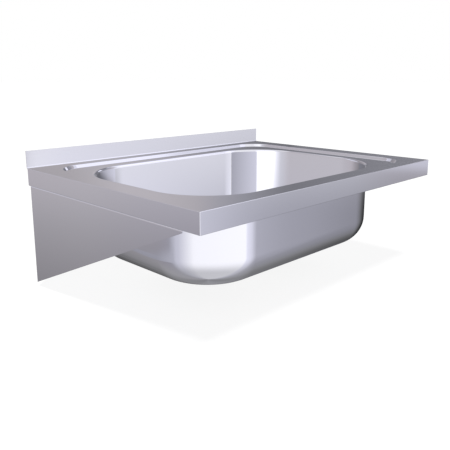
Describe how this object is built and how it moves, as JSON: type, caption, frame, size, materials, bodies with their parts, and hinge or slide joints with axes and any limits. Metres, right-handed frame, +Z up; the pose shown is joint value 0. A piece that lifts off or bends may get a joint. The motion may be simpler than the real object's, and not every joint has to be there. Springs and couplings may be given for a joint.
{
  "type": "wall-mounted sink",
  "caption": "Stainless steel wall sink: folded worktop with upstand and drip recess, deep pressed bowl, triangular side brackets and a basket strainer waste.",
  "frame": {"origin": "on the wall plane, at the middle of the four wall fixing holes", "axes": "+X to the right seen from the front, +Y towards the wall, +Z up"},
  "size_m": [0.6, 0.45, 0.2453],
  "materials": {
    "satin_steel": "satin",
    "polished_steel": "polished",
    "fastener_steel": "plain",
    "damping_pad": "matt",
    "black_rubber": "matt",
    "white_plastic": "moulded",
    "brass_insert": "turned",
    "knob_chrome": "plated"
  },
  "bodies": {
    "sink": {"worktop": "satin_steel", "left_bracket": "satin_steel", "right_bracket": "satin_steel", "bowl": "polished_steel", "strainer_pan": "polished_steel", "bracket_bolts": "fastener_steel", "bracket_washers": "fastener_steel", "bracket_nuts": "fastener_steel", "centre_bolt": "fastener_steel", "sound_pad": "damping_pad", "flange_gasket": "black_rubber", "clamp_gasket": "black_rubber", "waste_cup": "white_plastic", "cup_insert": "brass_insert"},
    "strainer_basket": {"basket": "polished_steel", "basket_seal": "black_rubber", "basket_stem": "fastener_steel", "basket_clip": "fastener_steel", "basket_knob": "knob_chrome"}
  },
  "joints": [
    {"name": "basket_lift", "type": "slide", "parent": "sink", "child": "strainer_basket", "axis": [0, 0, 1], "range_m": [0, 0.23]}
  ]
}
